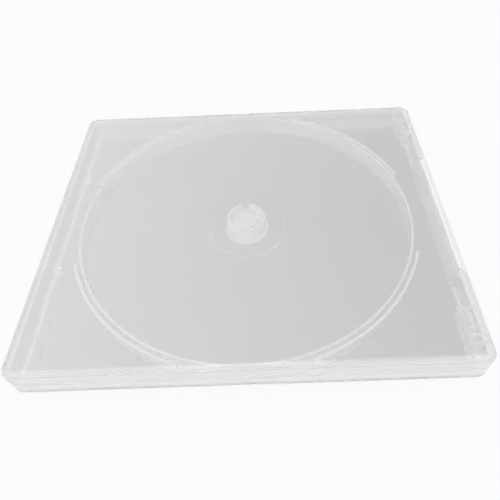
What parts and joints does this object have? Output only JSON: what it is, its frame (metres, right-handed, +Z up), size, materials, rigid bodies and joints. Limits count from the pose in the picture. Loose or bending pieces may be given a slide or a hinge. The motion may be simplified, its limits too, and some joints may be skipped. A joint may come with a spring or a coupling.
{
  "type": "cd case",
  "caption": "Clear moulded plastic case for one disc, shut: a back half with a disc hub and ring wall, a folding spine strip and a cover that latches at the opening edge.",
  "frame": {"origin": "centre of the closed case's underside, on the plane that it lies on", "axes": "+X from the spine to the edge that opens, +Y along the spine, +Z up through the cover"},
  "size_m": [0.144, 0.126, 0.0104],
  "materials": {
    "clear_shell": "clear, glossy, faintly milky polypropylene"
  },
  "bodies": {
    "back": {"back_half": "clear_shell"},
    "spine": {"spine": "clear_shell"},
    "cover": {"front_cover": "clear_shell"}
  },
  "joints": [
    {"name": "spine_fold", "type": "hinge", "parent": "back", "child": "spine", "pos_m": [-0.0714, 0, 0.0006], "axis": [0, -1, 0], "range_deg": [0, 90]},
    {"name": "cover_fold", "type": "hinge", "parent": "spine", "child": "cover", "pos_m": [-0.0714, 0, 0.0098], "axis": [0, -1, 0], "range_deg": [0, 90]}
  ]
}
